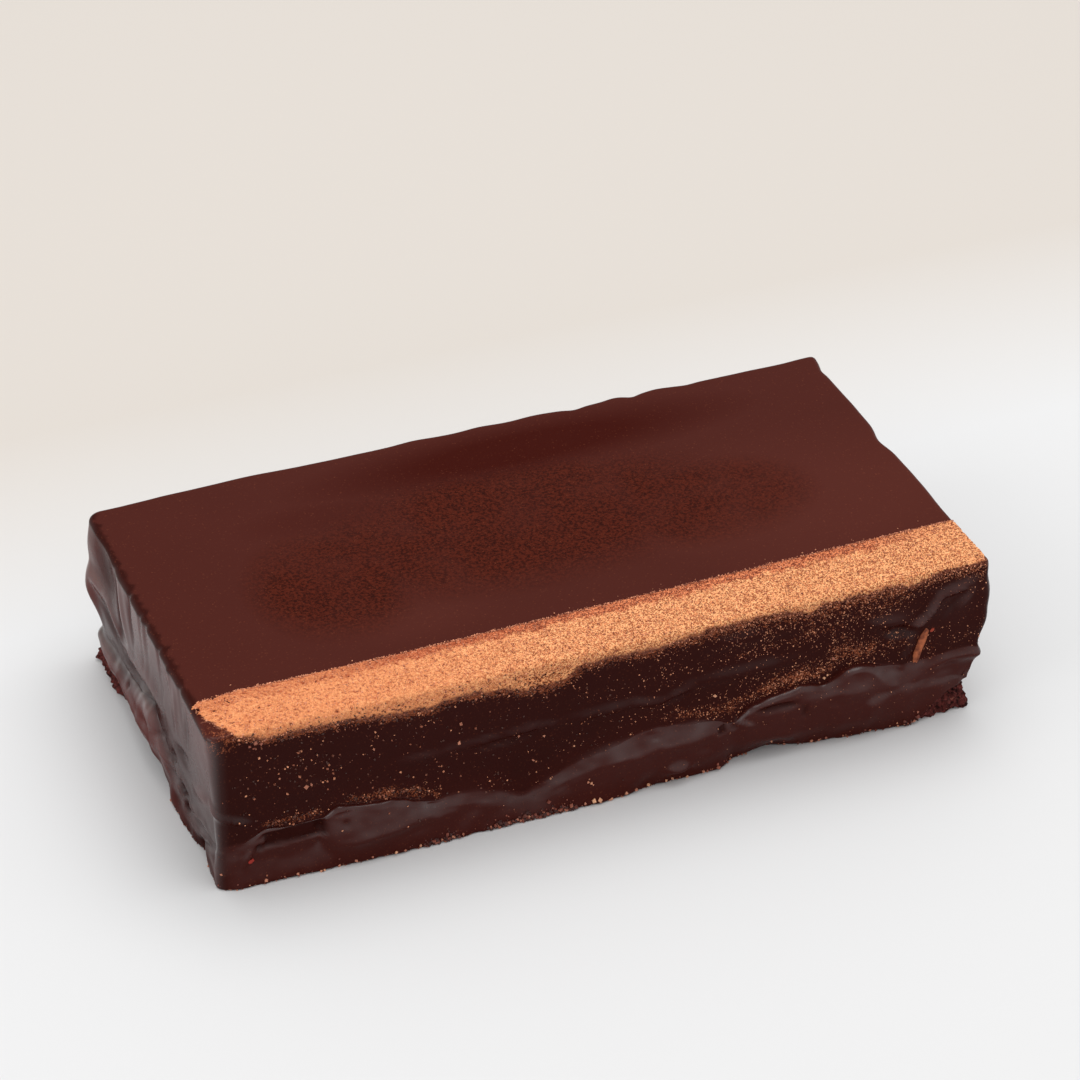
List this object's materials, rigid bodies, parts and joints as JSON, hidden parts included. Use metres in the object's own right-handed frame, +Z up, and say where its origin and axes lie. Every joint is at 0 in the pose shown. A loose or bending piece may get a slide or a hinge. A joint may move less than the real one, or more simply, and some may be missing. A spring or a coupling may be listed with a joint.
{
  "type": "yule log cake",
  "caption": "Rectangular yule log cake bar under a poured dark chocolate coat with a lobed ledge round its foot, on a crumbly biscuit base.",
  "frame": {"origin": "centre of the cake's footprint, on the surface that it rests on", "axes": "+X along the bar to its right end, +Y towards the back, +Z up; the powdered long edge faces -Y"},
  "size_m": [0.2237, 0.1163, 0.049],
  "materials": {
    "chocolate_coat": "satin dark chocolate",
    "biscuit": "crumbly cocoa biscuit",
    "copper_powder": "copper-orange food powder",
    "crumbs": "toasted biscuit and nut crumbs"
  },
  "bodies": {
    "root": {"coated_cake": "chocolate_coat", "biscuit_base": "biscuit"}
  },
  "joints": []
}
